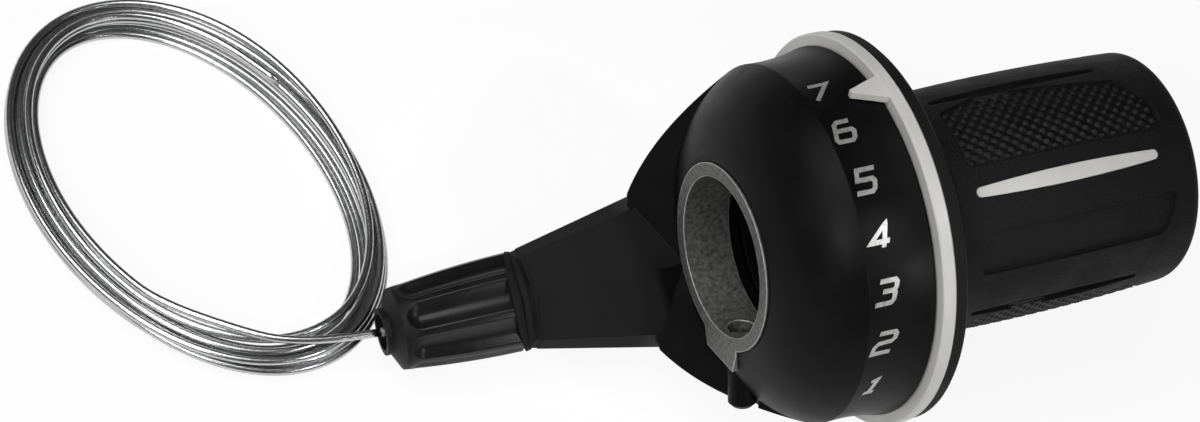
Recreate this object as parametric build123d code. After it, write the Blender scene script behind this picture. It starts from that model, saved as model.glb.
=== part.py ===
from build123d import *
import os
from math import acos, atan2, cos, degrees, hypot, pi, radians, sin, sqrt, tan

# Twist grip shifter, right hand, seven speeds, for a 22.2 mm handlebar. Millimetres.
# +X runs along the bar from the clamp towards the grip's outer end, +Y is forwards and +Z is up.
# The origin is on the bar axis, in the inboard face of the clamp insert.
# An angle is measured about +X, from +Y towards +Z.

# Handlebar, and how far a cutting shape runs past the face that it opens
BAR_DIA = 22.2
INSERT_GAP = 0.06
BARREL_GAP = 0.25
WEB_GAP = 0.5
CUT_MARGIN = 1.0

# Clamp insert and its screw
INSERT_WALL = 1.9
INSERT_LENGTH = 7.0
SCREW_X = 3.1
SCREW_ANGLE = -125.5
SCREW_DIA = 4.0
SCREW_HOLE_GAP = 0.3
SCREW_INNER_R = 13.0
SCREW_DROP = 2.8
SCREW_DOME = 0.6
SCREW_HEX = 2.0
SCREW_HEX_DEPTH = 2.2
PAD_HEIGHT = 2.8
PAD_LEFT = 4.3
PAD_LEFT_FOOT = 1.5
PAD_RIGHT = 3.0
PAD_RIGHT_FOOT = 1.1
PAD_SLOPE = 1.0

# Moulded housing
FACE_X = 0.3
FACE_STEP = 0.84
DOME_MID_X = 4.4
DOME_DROP = 4.1
CREASE_X = 9.0
CREASE_DROP = 0.8
BAND_X = 14.5
BAND_DROP = 0.7
RIM_X = 18.4
WEB_WALL = 1.6
DRUM_WALL = 3.7
SCOOP_GAP = 0.1

# Cable boss
BOSS_ANGLE = -61.6
BOSS_TILT = 8.0
BOSS_SWING = 0.6
BOSS_STEP = 3.8
BOSS_LENGTH = 21.3
BOSS_LIP = 1.4
LIP_STEP = 0.12
ROOT_HALF_HEIGHT = 11.3
TIP_HALF_HEIGHT = 6.8
ROOT_HALF_DEPTH = 6.6
TIP_HALF_DEPTH = 6.4
ROOT_DEPTH_INSIDE = 3.0
WING_X = -4.0
WING_DROP = 5.0
WING_MID_X = 3.9
WING_MID_DROP = 2.85
WING_FRONT_DROP = 12.3
WING_SLOPE = 1.02
CABLE_HOLE_R = 1.3

# Corners of half the boss section, as shares of its half height and half depth, from the inner ridge out
BOSS_CORNERS = [(0.0, -1.0), (0.84, -0.5), (1.0, 0.1), (0.8, 0.75), (0.35, 1.0)]

# Cable and its spool
CABLE_DIA = 1.2
SPOOL_R = 14.2
SPOOL_ROOM = 7.8
SPOOL_X = 13.0
CABLE_CLEARANCE = 0.3
FLANGE_DEPTH = 1.4
WRAP_ANGLE = 22.0
BEND_R = 6.2
HEAD_DIA = 4.0
HEAD_LENGTH = 4.0
HEAD_GAP = 0.05

# Detent
GEARS = 7
GEAR_STEP = 17.5
DETENT_STEP = 2.8
DETENT_WIDTH = 2.25
NOTCH_DEPTH = 1.1
NOTCH_HALF = 1.1
SPRING_ANGLE = 150.0
SPRING_THICKNESS = 0.4
SPRING_GAP = 0.4
SPRING_BITE = 0.54
SPRING_WIDTH = 2.0
SPRING_POCKET_DEPTH = 2.2
BUMP_HALF = 1.7

# Retaining ring
RING_THICKNESS = 1.2
RING_SEAT = 0.8
RING_SPLIT = 24.0
MOUTH_LIP = 0.2

# Cable guide
GUIDE_HALF_WIDTH = 1.5
GUIDE_INNER_R = 1.5
GUIDE_GROOVE_GAP = 0.05

# Twist barrel
SIDE_GAP = 0.4
BARREL_R = 13.0
NECK_R = 13.8
GRIP_END_X = 66.5

# Indicator ring
INDICATOR_STEP = 1.6
INDICATOR_WALL = 2.3
INDICATOR_WIDTH = 2.0
INDICATOR_CHAMFER = 0.25
POINTER_ANGLE = 76.0
POINTER_LENGTH = 4.2
POINTER_DROP = 1.1
POINTER_GAP = 0.3
POINTER_BELOW = 2.7
POINTER_ABOVE = 1.6
POINTER_TIP_ABOVE = 0.7
POINTER_TIP_WIDTH = 0.6

# Rubber grip
RUBBER_FLANGE_STEP = 0.2
RUBBER_FLANGE_WIDTH = 2.0
RUBBER_EDGE = 0.5
FLANGE_NECK_X = 24.7
FLANGE_NECK_R = 19.0
SLEEVE_X = 28.5
SLEEVE_R = 16.75
SLEEVE_MID_X = 44.6
SLEEVE_MID_R = 17.05
SLEEVE_END_X = 64.6
SLEEVE_END_R = 16.4
GRIP_EDGE_X = 66.05
GRIP_EDGE_R = 15.65
GRIP_FACE_R = 14.1
PANEL_COUNT = 3
INLAY_ANGLE = 114.0
INLAY_START_X = 31.1
INLAY_END_X = 59.8
INLAY_HALF_MID = 1.15
INLAY_HALF_END = 0.7
INLAY_FLOOR = 15.2
INLAY_PROUD = 0.15
INLAY_GAP = 0.04
KNURL_ANGLE = 82.0
KNURL_DEPTH = 0.35
KNURL_START_X = 31.0
KNURL_PEAK_X = 39.0
KNURL_SHOULDER_X = 58.7
KNURL_END_X = 62.0
KNURL_START_TOP = 3.8
KNURL_PEAK_TOP = 6.1
KNURL_SHOULDER_TOP = 3.4
KNURL_END_TOP = -1.8
KNURL_BOTTOM = -5.7
PLATE_ANGLE = 143.5
PLATE_HALF = 3.1
PLATE_DEPTH = 0.5
PLATE_START_X = 31.5
PLATE_END_X = 61.4
PLATE_SLANT = 1.0
GROOVE_ANGLE = 179.5
GROOVE_START_X = 31.0
GROOVE_END_X = 57.5
GROOVE_HALF = 0.95
GROOVE_DEPTH = 0.8
CORNER_R = 1.2

# Barrel adjuster
STEM_DIA = 6.0
STEM_GAP = 0.05
STEM_LENGTH = 11.0
ADJUSTER_GAP = 0.25
ADJUSTER_LENGTH = 17.45
ADJUSTER_WIDE_R = 7.0
ADJUSTER_MID_R = 6.65
ADJUSTER_END_R = 5.7
ADJUSTER_EDGE = 0.4
RECESS_GAP = 0.2
RECESS_ROOM = 0.14
NOSE_R = 3.3
NOSE_LENGTH = 0.8
NOSE_CONE = 1.2
SOCKET_R = 2.55
SOCKET_DEPTH = 6.5
ADJUSTER_BORE_R = 1.0
LOBES = 8
FLUTE_R = 1.55
FLUTE_DEPTH_WIDE = 0.9
FLUTE_DEPTH_END = 1.1
FLUTE_STOP = 1.1
FRICTION_RING_R = 0.38

# Free cable, lying on the surface below the shifter
FLOOR_GAP = 0.9
COIL_AHEAD = 0.1
COIL_ASIDE = 25.93
JOIN_HEIGHT = 2.336
COIL_HALF_LONG = 33.4
COIL_HALF_SHORT = 23.2
COIL_BAND = 6.2
COIL_HEIGHT = 4.2
COIL_EDGE = 1.6
COIL_TURN = 107.0

# Free cable from the adjuster's nose: steps along X and Y with their share of the drop to the coil,
# and how much of a run an arc may take
LEAD_STEPS = [(-6.5, 0.55, 0.344), (-12.4, 1.9, 0.75), (-17.2, 4.4, 1.0)]
ARC_SHARE = 0.45

# Worked-out sizes
BAR_R = BAR_DIA / 2
CABLE_R = CABLE_DIA / 2
INSERT_BORE_R = BAR_R + INSERT_GAP
INSERT_R = INSERT_BORE_R + INSERT_WALL
PAD_FOOT_R = INSERT_BORE_R - INSERT_WALL
CAVITY_R = SPOOL_R + SPOOL_ROOM
RIM_R = CAVITY_R + DRUM_WALL
SCREW_OUTER_R = RIM_R - SCREW_DROP
FACE_R = INSERT_R + FACE_STEP
DOME_MID_R = RIM_R - DOME_DROP
CREASE_R = RIM_R - CREASE_DROP
BAND_R = RIM_R - BAND_DROP
WING_R = RIM_R - WING_DROP
WING_MID_R = RIM_R - WING_MID_DROP
WING_FRONT = RIM_R - WING_FRONT_DROP
BOSS_REACH = SPOOL_R + BOSS_STEP
INDICATOR_R = RIM_R + INDICATOR_STEP
DISC_R = INDICATOR_R - INDICATOR_WALL
POINTER_TIP_R = INDICATOR_R - POINTER_DROP
RUBBER_FLANGE_R = INDICATOR_R - RUBBER_FLANGE_STEP
FLOOR_Z = -INDICATOR_R - FLOOR_GAP
BARREL_BORE_R = BAR_R + BARREL_GAP
CAVITY_X = INSERT_LENGTH + WEB_WALL
BARREL_X = CAVITY_X + SIDE_GAP
GROOVE_HALF_WIDTH = CABLE_R + CABLE_CLEARANCE
GROOVE_R = SPOOL_R - CABLE_R - CABLE_CLEARANCE
SPOOL_FLANGE_R = SPOOL_R + FLANGE_DEPTH
DETENT_R = SPOOL_R + DETENT_STEP
SPRING_R = DETENT_R + SPRING_GAP
SPRING_HALF_LENGTH = sqrt(CAVITY_R ** 2 - SPRING_R ** 2) + SPRING_BITE
DETENT_X = SPOOL_X + GROOVE_HALF_WIDTH
DETENT_END_X = DETENT_X + DETENT_WIDTH
RING_X = DETENT_END_X + SIDE_GAP
RING_END_X = RING_X + RING_THICKNESS
RING_R = CAVITY_R + RING_SEAT
DISC_X = RIM_X + SIDE_GAP
DISC_END_X = DISC_X + INDICATOR_WIDTH
STEM_R = STEM_DIA / 2
KNOB_START = BOSS_LENGTH + ADJUSTER_GAP
KNOB_END = KNOB_START + ADJUSTER_LENGTH
RECESS_END = BOSS_LENGTH + 2 * FRICTION_RING_R + RECESS_ROOM
RECESS_R = STEM_R + 2 * FRICTION_RING_R + RECESS_GAP
NOSE_START = KNOB_END + NOSE_CONE
NOSE_END = NOSE_START + NOSE_LENGTH
BAR_AXIS = Axis((0, 0, 0), (1, 0, 0))


def radial(angle):
    """Unit vector square to the bar at the given angle."""
    return Vector(0, cos(radians(angle)), sin(radians(angle)))


# The boss leans out from the bar at its own angle, and swings slightly sideways
BOSS_OUT = radial(BOSS_ANGLE)
BOSS_SIDE = Vector(1, 0, 0).cross(BOSS_OUT)
BOSS_LEAN = Vector(-cos(radians(BOSS_TILT)), 0, 0) + BOSS_OUT * sin(radians(BOSS_TILT))
BOSS_DIRECTION = BOSS_LEAN * cos(radians(BOSS_SWING)) - BOSS_SIDE * sin(radians(BOSS_SWING))
BOSS_ROOT = BOSS_OUT * (BOSS_REACH + SPOOL_X * tan(radians(BOSS_TILT)))
BOSS_PLANE = Plane(BOSS_ROOT, x_dir=BOSS_OUT.cross(BOSS_DIRECTION), z_dir=BOSS_DIRECTION)

# The cable leaves the spool on a tangent that meets the boss axis in the plane of the groove
BEND_POINT = BOSS_ROOT - BOSS_DIRECTION * (SPOOL_X / -BOSS_DIRECTION.X)
BEND_ANGLE = degrees(atan2(BEND_POINT.Z, BEND_POINT.Y))
TANGENT_ANGLE = BEND_ANGLE + degrees(acos(SPOOL_R / hypot(BEND_POINT.Y, BEND_POINT.Z)))
TANGENT_DIRECTION = Vector(0, sin(radians(TANGENT_ANGLE)), -cos(radians(TANGENT_ANGLE)))
HEAD_ANGLE = TANGENT_ANGLE + WRAP_ANGLE
BEND_TURN = TANGENT_DIRECTION.get_angle(BOSS_DIRECTION)


def revolved(outline):
    """Solid turned about the bar axis from an outline of (x, radius) edges."""
    return revolve(make_face(outline), BAR_AXIS)


def tube(start_x, end_x, outer_r, inner_r):
    """Plain ring about the bar axis."""
    corners = [(start_x, inner_r), (end_x, inner_r), (end_x, outer_r), (start_x, outer_r)]
    return revolved(Polyline(*corners, close=True))


def rod(start_x, end_x, radius):
    """Plain cylinder on the bar axis."""
    return revolved(Polyline((start_x, 0), (end_x, 0), (end_x, radius), (start_x, radius), close=True))


def tangent_plane(angle, height=0.0):
    """Plane square to a radius: local x along the bar, local y towards smaller angles."""
    outward = radial(angle)
    return Plane(outward * height, x_dir=(1, 0, 0), z_dir=outward)


def boss_section(distance, half_height, half_depth):
    """Faceted section of the boss, with its ridge towards the bar."""
    half = [(across * half_height, out * half_depth) for across, out in BOSS_CORNERS]
    mirrored = [(-across, out) for across, out in reversed(half[1:])]
    return BOSS_PLANE.offset(distance) * make_face(Polyline(*half, *mirrored, close=True))


def boss_size(distance):
    """Half height and half depth of the boss at a distance from its root."""
    share = distance / BOSS_LENGTH
    half_height = ROOT_HALF_HEIGHT + (TIP_HALF_HEIGHT - ROOT_HALF_HEIGHT) * share
    half_depth = ROOT_HALF_DEPTH + (TIP_HALF_DEPTH - ROOT_HALF_DEPTH) * share
    return half_height, half_depth


def screw_plane(height=0.0):
    """Plane square to the clamp screw at a radius from the bar axis."""
    outward = radial(SCREW_ANGLE)
    return Plane(outward * height + Vector(SCREW_X, 0, 0), x_dir=(1, 0, 0), z_dir=outward)


def screw_cylinder(radius, inner_r, outer_r):
    """Cylinder on the clamp screw's axis between two radii from the bar axis."""
    return extrude(screw_plane(inner_r) * Circle(radius), outer_r - inner_r)


def insert_blank(end_x):
    """Outer form of the clamp insert: a ring with a pad for the screw, which lies along local -y."""
    side = Vector(1, 0, 0).cross(radial(SCREW_ANGLE))
    face = Plane((0, 0, 0), x_dir=side, z_dir=(1, 0, 0))
    top = INSERT_R + PAD_HEIGHT
    right_foot = -PAD_RIGHT - PAD_RIGHT_FOOT
    pad = [
        (PAD_LEFT + PAD_LEFT_FOOT, -PAD_FOOT_R),
        (PAD_LEFT, PAD_SLOPE - top),
        (-PAD_RIGHT, -top),
        (right_foot, -INSERT_R),
        (right_foot, -PAD_FOOT_R),
    ]
    outline = face * (Circle(INSERT_R) + make_face(Polyline(*pad, close=True)))
    return extrude(outline, end_x)


def clamp_insert():
    """Cast alloy ring that takes the handlebar, with the thread for the clamp screw."""
    blank = insert_blank(INSERT_LENGTH)
    blank -= rod(-CUT_MARGIN, INSERT_LENGTH + CUT_MARGIN, INSERT_BORE_R)
    return blank - screw_cylinder(SCREW_DIA / 2, 0, SCREW_OUTER_R)


def clamp_screw():
    """Set screw with a domed outer end and a hexagon socket."""
    body = screw_cylinder(SCREW_DIA / 2, SCREW_INNER_R, SCREW_OUTER_R)
    body = chamfer(body.edges().filter_by(GeomType.CIRCLE), SCREW_DOME)
    socket_floor = screw_plane(SCREW_OUTER_R - SCREW_HEX_DEPTH)
    hexagon = RegularPolygon(SCREW_HEX / 2, 6, major_radius=False)
    return body - extrude(socket_floor * hexagon, SCREW_HEX_DEPTH + CUT_MARGIN)


def housing_body():
    """Bell-shaped drum with its dial band, before it is hollowed."""
    dome = ThreePointArc((FACE_X, FACE_R), (DOME_MID_X, DOME_MID_R), (CREASE_X, CREASE_R))
    band = ThreePointArc((CREASE_X, CREASE_R), (BAND_X, BAND_R), (RIM_X, RIM_R))
    inside = Polyline((RIM_X, RIM_R), (RIM_X, 0), (FACE_X, 0), (FACE_X, FACE_R))
    return revolved([dome, band, inside])


def wing():
    """Back of the drum, carried inboard on the boss side only and cut by a sloping plane."""
    edge = ThreePointArc((WING_X, WING_R), (WING_MID_X, WING_MID_R), (CREASE_X, CREASE_R))
    inside = Polyline((CREASE_X, CREASE_R), (CREASE_X, 0), (WING_X, 0), (WING_X, WING_R))
    reach = 2 * (CREASE_R + CREASE_X - WING_X)
    front = Plane(BOSS_OUT * WING_FRONT, x_dir=BOSS_SIDE, z_dir=BOSS_OUT + Vector(WING_SLOPE, 0, 0))
    return revolved([edge, inside]) & extrude(front * Rectangle(reach, reach), reach)


def boss_body():
    """Tapered faceted boss with a stepped lip at its tip."""
    lip_start = BOSS_LENGTH - BOSS_LIP
    root = boss_section(-ROOT_DEPTH_INSIDE, *boss_size(-ROOT_DEPTH_INSIDE))
    shoulder = boss_section(lip_start, *boss_size(lip_start))
    taper = loft([root, shoulder], ruled=True)
    lip_foot = boss_section(lip_start, *[size - LIP_STEP for size in boss_size(lip_start)])
    lip_end = boss_section(BOSS_LENGTH, *[size - LIP_STEP for size in boss_size(BOSS_LENGTH)])
    return taper + loft([lip_foot, lip_end], ruled=True)


def along_boss(radius, start, end):
    """Cylinder on the boss axis between two distances from its root."""
    return extrude(BOSS_PLANE.offset(start) * Circle(radius), end - start)


def spring_plane(start_x):
    """Plane square to the bar with local y out through the middle of the detent spring."""
    out = radial(SPRING_ANGLE)
    return Plane((start_x, 0, 0), x_dir=out.cross(Vector(1, 0, 0)), z_dir=(1, 0, 0))


def spring_start_x():
    """Inboard edge of the detent spring, centred on the detent wheel."""
    return DETENT_X + (DETENT_WIDTH - SPRING_WIDTH) / 2


def spring_pockets():
    """Pockets in the cavity wall that hold the ends of the detent spring."""
    inner = SPRING_R - SIDE_GAP / 2
    outer = SPRING_R + SPRING_THICKNESS
    reach = SPRING_HALF_LENGTH + SIDE_GAP
    sketch = Sketch()
    for side in (-1, 1):
        centre_x = side * (reach - SPRING_POCKET_DEPTH / 2)
        sketch += Pos(centre_x, (inner + outer) / 2) * Rectangle(SPRING_POCKET_DEPTH, outer - inner)
    return extrude(spring_plane(spring_start_x()) * sketch, SPRING_WIDTH)


def housing():
    """Moulded housing: drum, fairing and boss in one, hollow for the spool."""
    mouth_x = RIM_X + CUT_MARGIN
    tip = BOSS_LENGTH + CUT_MARGIN
    stem_hole_start = BOSS_LENGTH - STEM_LENGTH - SIDE_GAP
    body = housing_body() + wing() + boss_body()
    body -= rod(WING_X - BOSS_LENGTH, FACE_X, INSERT_R + SCOOP_GAP)
    body -= insert_blank(INSERT_LENGTH)
    body -= rod(FACE_X, CAVITY_X + CUT_MARGIN, BAR_R + WEB_GAP)
    body -= rod(CAVITY_X, mouth_x, CAVITY_R)
    body -= rod(RING_X, RING_END_X, RING_R)
    body -= rod(RING_END_X, mouth_x, CAVITY_R + MOUTH_LIP)
    body -= screw_cylinder(SCREW_DIA / 2 + SCREW_HOLE_GAP, INSERT_R, RIM_R + CUT_MARGIN)
    body -= along_boss(CABLE_HOLE_R, BEND_R / 2 - SPOOL_X, tip)
    body -= along_boss(STEM_R + STEM_GAP, stem_hole_start, tip)
    return body - spring_pockets()


def detent_spring():
    """Leaf spring with a pressed bump that rests in the notch of the chosen gear."""
    low = SPRING_R
    high = low + SPRING_THICKNESS
    tip = SPRING_R - NOTCH_DEPTH
    outline = [
        (-SPRING_HALF_LENGTH, high), (-SPRING_HALF_LENGTH, low), (-BUMP_HALF, low), (0, tip),
        (BUMP_HALF, low), (SPRING_HALF_LENGTH, low), (SPRING_HALF_LENGTH, high), (BUMP_HALF, high),
        (0, tip + SPRING_THICKNESS), (-BUMP_HALF, high),
    ]
    return extrude(spring_plane(spring_start_x()) * make_face(Polyline(*outline, close=True)), SPRING_WIDTH)


def retaining_ring():
    """Split ring sprung into the housing's mouth, behind the detent wheel."""
    ring = tube(RING_X, RING_END_X, RING_R, NECK_R + SIDE_GAP)
    gap_width = 2 * RING_R * sin(radians(RING_SPLIT / 2))
    split = Pos(RING_X + RING_THICKNESS / 2, 0) * Rectangle(2 * RING_THICKNESS, gap_width)
    return ring - extrude(tangent_plane(BOSS_ANGLE) * split, RING_R + CUT_MARGIN)


def cable_guide():
    """Saddle that turns the cable from the spool's tangent into the boss."""
    towards_boss = (BOSS_DIRECTION - TANGENT_DIRECTION * BOSS_DIRECTION.dot(TANGENT_DIRECTION)).normalized()
    start = BEND_POINT - TANGENT_DIRECTION * (BEND_R * tan(radians(BEND_TURN / 2)))
    centre = start + towards_boss * BEND_R
    normal = TANGENT_DIRECTION.cross(towards_boss)
    section = Plane(centre, x_dir=-towards_boss, z_dir=-TANGENT_DIRECTION)
    middle = (GUIDE_INNER_R + BEND_R) / 2
    profile = Pos(middle, 0) * Rectangle(BEND_R - GUIDE_INNER_R, 2 * GUIDE_HALF_WIDTH)
    profile -= Pos(BEND_R, 0) * Circle(CABLE_R + GUIDE_GROOVE_GAP)
    saddle = revolve(section * profile, Axis(centre, normal), BEND_TURN)
    return saddle & tube(CAVITY_X, SPOOL_X + BEND_R, CAVITY_R, SPOOL_FLANGE_R + SIDE_GAP)


def cable_path():
    """Route of the cable from its head, round the spool, over the guide and out through the adjuster."""
    head_out = radial(HEAD_ANGLE)
    head_side = Vector(0, sin(radians(HEAD_ANGLE)), -cos(radians(HEAD_ANGLE)))
    wrap_corner_reach = SPOOL_R * tan(radians(WRAP_ANGLE / 2))
    touch = head_out * SPOOL_R + Vector(SPOOL_X, 0, 0)
    corner = touch + head_side * wrap_corner_reach
    start = touch - head_side * CABLE_CLEARANCE
    end = BOSS_ROOT + BOSS_DIRECTION * NOSE_END
    return FilletPolyline(start, corner, BEND_POINT, end, radius=[SPOOL_R, BEND_R])


def swept(path):
    """Round cable along a path."""
    return sweep(Plane(path @ 0, z_dir=path % 0) * Circle(CABLE_R), path)


def head_cylinder(radius):
    """Cylinder along the spool's tangent at the cable head."""
    tangent = Vector(0, -sin(radians(HEAD_ANGLE)), cos(radians(HEAD_ANGLE)))
    middle = radial(HEAD_ANGLE) * SPOOL_R + Vector(SPOOL_X, 0, 0)
    start = middle + tangent * (2 * CABLE_CLEARANCE)
    return extrude(Plane(start, x_dir=(1, 0, 0), z_dir=tangent) * Circle(radius), HEAD_LENGTH)


def twist_barrel():
    """Moulded barrel: cable spool, detent wheel, disc for the ring and tube under the rubber."""
    outline = [
        (BARREL_X, BARREL_BORE_R), (BARREL_X, SPOOL_FLANGE_R),
        (SPOOL_X - GROOVE_HALF_WIDTH, SPOOL_FLANGE_R), (SPOOL_X - GROOVE_HALF_WIDTH, GROOVE_R),
        (DETENT_X, GROOVE_R), (DETENT_X, DETENT_R),
        (DETENT_END_X, DETENT_R), (DETENT_END_X, NECK_R),
        (DISC_X, NECK_R), (DISC_X, DISC_R),
        (DISC_END_X, DISC_R), (DISC_END_X, BARREL_R),
        (GRIP_END_X, BARREL_R), (GRIP_END_X, BARREL_BORE_R),
    ]
    barrel = revolved(Polyline(*outline, close=True))
    diamond = [(-NOTCH_HALF, 0), (0, -NOTCH_DEPTH), (NOTCH_HALF, 0), (0, NOTCH_DEPTH)]
    notch = make_face(Polyline(*diamond, close=True))
    for gear in range(GEARS):
        place = Rot(-GEAR_STEP * gear, 0, 0) * spring_plane(DETENT_X).location * Pos(0, DETENT_R, 0)
        barrel -= place * extrude(notch, DETENT_WIDTH)
    return barrel - head_cylinder(HEAD_DIA / 2 + HEAD_GAP)


def cable_head():
    """Cylindrical cast end of the cable, in its pocket in the spool."""
    return head_cylinder(HEAD_DIA / 2)


def indicator_ring():
    """Ring round the disc with a fin-shaped pointer that reaches over the dial band."""
    ring = tube(DISC_X, DISC_END_X, INDICATOR_R, DISC_R)
    outer_edges = ring.edges().filter_by(GeomType.CIRCLE).group_by(SortBy.RADIUS)[-1]
    ring = chamfer(outer_edges, INDICATOR_CHAMFER)
    tip_x = DISC_X - POINTER_LENGTH
    root_x = DISC_X + INDICATOR_WIDTH / 2
    skin_start_x = tip_x - CUT_MARGIN
    top_r = INDICATOR_R - INDICATOR_CHAMFER / 2
    fin = [
        (tip_x, POINTER_TIP_ABOVE), (DISC_X, POINTER_ABOVE), (root_x, POINTER_ABOVE),
        (root_x, -POINTER_BELOW), (DISC_X, -POINTER_BELOW), (tip_x, POINTER_TIP_ABOVE - POINTER_TIP_WIDTH),
    ]
    skin = [
        (skin_start_x, BAND_R + POINTER_GAP), (BAND_X, BAND_R + POINTER_GAP), (RIM_X, RIM_R + POINTER_GAP),
        (root_x, RIM_R + POINTER_GAP), (root_x, top_r), (DISC_X, top_r), (skin_start_x, POINTER_TIP_R),
    ]
    blade = extrude(tangent_plane(POINTER_ANGLE, CAVITY_R) * make_face(Polyline(*fin, close=True)), CAVITY_R)
    return ring + (blade & revolved(Polyline(*skin, close=True)))


def sleeve_outline(lift):
    """Edges of the grip's outside, raised by lift, from the flange's neck to the outer end."""
    start = (SLEEVE_X, SLEEVE_R + lift)
    middle = (SLEEVE_MID_X, SLEEVE_MID_R + lift)
    shoulder = (SLEEVE_END_X, SLEEVE_END_R + lift)
    corner = (GRIP_EDGE_X, GRIP_EDGE_R + lift)
    end = (GRIP_END_X, GRIP_FACE_R + lift)
    return [ThreePointArc(start, middle, shoulder), ThreePointArc(shoulder, corner, end)]


def sleeve_solid(lift):
    """Solid of the grip's outside raised by lift, filled to the bar axis."""
    corners = [(GRIP_END_X, GRIP_FACE_R + lift), (GRIP_END_X, 0), (SLEEVE_X, 0), (SLEEVE_X, SLEEVE_R + lift)]
    return revolved(sleeve_outline(lift) + [Polyline(*corners)])


def lens(start_x, end_x, half_mid, half_end):
    """Slender outline, widest in the middle, with round ends."""
    middle = (start_x + end_x) / 2
    near = start_x + half_end
    far = end_x - half_end
    edges = [
        ThreePointArc((near, half_end), (middle, half_mid), (far, half_end)),
        ThreePointArc((far, half_end), (end_x, 0), (far, -half_end)),
        ThreePointArc((far, -half_end), (middle, -half_mid), (near, -half_end)),
        ThreePointArc((near, -half_end), (start_x, 0), (near, half_end)),
    ]
    return make_face(edges)


def knurl_outline():
    """Outline of a knurled panel: a slanted top edge and a round outer corner."""
    corners = [
        (KNURL_START_X, KNURL_BOTTOM), (KNURL_START_X, KNURL_START_TOP), (KNURL_PEAK_X, KNURL_PEAK_TOP),
        (KNURL_SHOULDER_X, KNURL_SHOULDER_TOP), (KNURL_END_X, KNURL_END_TOP), (KNURL_END_X, KNURL_BOTTOM),
    ]
    face = make_face(Polyline(*corners, close=True))
    return fillet(face.vertices(), CORNER_R)


def plate_outline():
    """Outline of the plain recessed panel: a slanted rectangle."""
    corners = [
        (PLATE_START_X + PLATE_SLANT, PLATE_HALF), (PLATE_END_X + PLATE_SLANT, PLATE_HALF),
        (PLATE_END_X - PLATE_SLANT, -PLATE_HALF), (PLATE_START_X - PLATE_SLANT, -PLATE_HALF),
    ]
    face = make_face(Polyline(*corners, close=True))
    return fillet(face.vertices(), CORNER_R)


def raised(angle, outline, floor=BARREL_R):
    """Prism that stands out of the grip over an outline."""
    return extrude(tangent_plane(angle, floor) * outline, INDICATOR_R - floor)


def inlay_outline(gap):
    """Outline of a spindle-shaped inlay, or of its slot."""
    return lens(INLAY_START_X - gap, INLAY_END_X + gap, INLAY_HALF_MID + gap, INLAY_HALF_END + gap)


def rubber_grip():
    """Moulded rubber: flange behind the ring and sleeve with its panels."""
    flange_end = DISC_END_X + RUBBER_FLANGE_WIDTH
    flange_corner = (flange_end, RUBBER_FLANGE_R - RUBBER_EDGE)
    flange = Polyline(
        (SLEEVE_X, BARREL_R), (DISC_END_X, BARREL_R), (DISC_END_X, RUBBER_FLANGE_R),
        (flange_end - RUBBER_EDGE, RUBBER_FLANGE_R), flange_corner,
    )
    neck = ThreePointArc(flange_corner, (FLANGE_NECK_X, FLANGE_NECK_R), (SLEEVE_X, SLEEVE_R))
    end = Polyline((GRIP_END_X, GRIP_FACE_R), (GRIP_END_X, BARREL_R), (SLEEVE_X, BARREL_R))
    grip = revolved([flange, neck] + sleeve_outline(0) + [end])
    knurl_core = sleeve_solid(-KNURL_DEPTH)
    plate_core = sleeve_solid(-PLATE_DEPTH)
    groove_core = sleeve_solid(-GROOVE_DEPTH)
    groove = lens(GROOVE_START_X, GROOVE_END_X, GROOVE_HALF, GROOVE_HALF / 2)
    for panel in range(PANEL_COUNT):
        turn = 360 / PANEL_COUNT * panel
        grip -= raised(KNURL_ANGLE + turn, knurl_outline()) - knurl_core
        grip -= raised(PLATE_ANGLE + turn, plate_outline()) - plate_core
        grip -= raised(GROOVE_ANGLE + turn, groove) - groove_core
        grip -= raised(INLAY_ANGLE + turn, inlay_outline(INLAY_GAP), INLAY_FLOOR)
    return grip


def spindle_inlay(panel):
    """Light inlay seated in its slot in the rubber, a little proud of it."""
    turn = 360 / PANEL_COUNT * panel
    return raised(INLAY_ANGLE + turn, inlay_outline(0), INLAY_FLOOR) & sleeve_solid(INLAY_PROUD)


def knob_radius(distance):
    """Radius of the adjuster at a distance along the boss, taken as straight tapers."""
    middle = (KNOB_START + KNOB_END) / 2
    if distance < middle:
        share = (distance - KNOB_START) / (middle - KNOB_START)
        return ADJUSTER_WIDE_R + (ADJUSTER_MID_R - ADJUSTER_WIDE_R) * share
    share = (distance - middle) / (KNOB_END - middle)
    return ADJUSTER_MID_R + (ADJUSTER_END_R - ADJUSTER_MID_R) * share


def flute():
    """Round-ended cutter for one flute of the adjuster, lying along its taper."""
    stop = KNOB_END - FLUTE_STOP - FLUTE_R
    wide_out = ADJUSTER_WIDE_R - FLUTE_DEPTH_WIDE + FLUTE_R
    end_out = knob_radius(stop) - FLUTE_DEPTH_END + FLUTE_R
    lean = (end_out - wide_out) / (stop - KNOB_START)
    start = Vector(wide_out - lean * CUT_MARGIN, 0, KNOB_START - CUT_MARGIN)
    end = Vector(end_out, 0, stop)
    line = end - start
    cutter = extrude(Plane(start, z_dir=line) * Circle(FLUTE_R), line.length)
    return cutter + Pos(end) * Sphere(FLUTE_R)


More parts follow.
